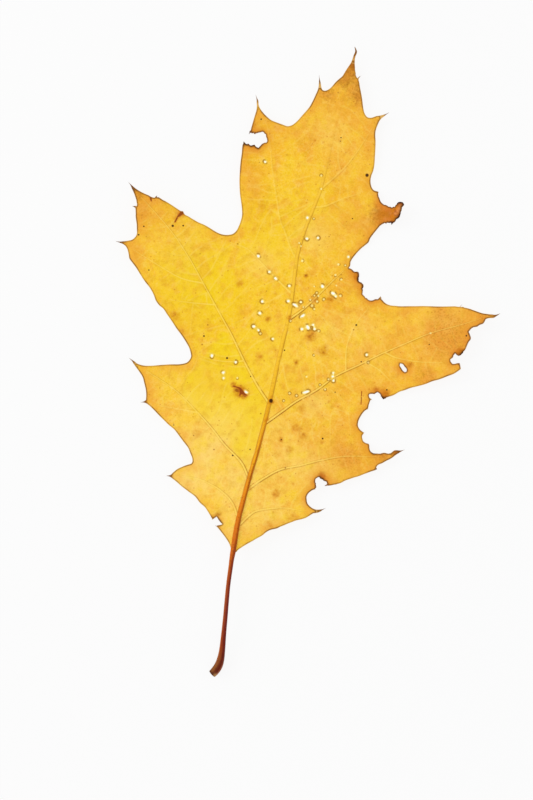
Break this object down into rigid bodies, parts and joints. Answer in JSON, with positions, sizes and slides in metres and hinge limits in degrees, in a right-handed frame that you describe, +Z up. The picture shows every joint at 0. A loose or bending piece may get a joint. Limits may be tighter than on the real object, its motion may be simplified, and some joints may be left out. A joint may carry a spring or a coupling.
{
  "type": "oak leaf",
  "caption": "Fallen autumn oak leaf with bristle-tipped lobes, torn and nibbled edges, raised veins and its stalk, lying slightly curled with its ribbed face up.",
  "frame": {"origin": "on the table, under the middle of the leaf's box", "axes": "+Y runs along the midrib from the stalk towards the tip, +Z points up from the table out of the leaf's ribbed face, +X points to the right when the leaf is seen from above with its tip away"},
  "size_m": [0.117, 0.1932, 0.0063],
  "materials": {
    "leaf": "matte"
  },
  "bodies": {
    "root": {"leaf": "leaf"}
  },
  "joints": []
}
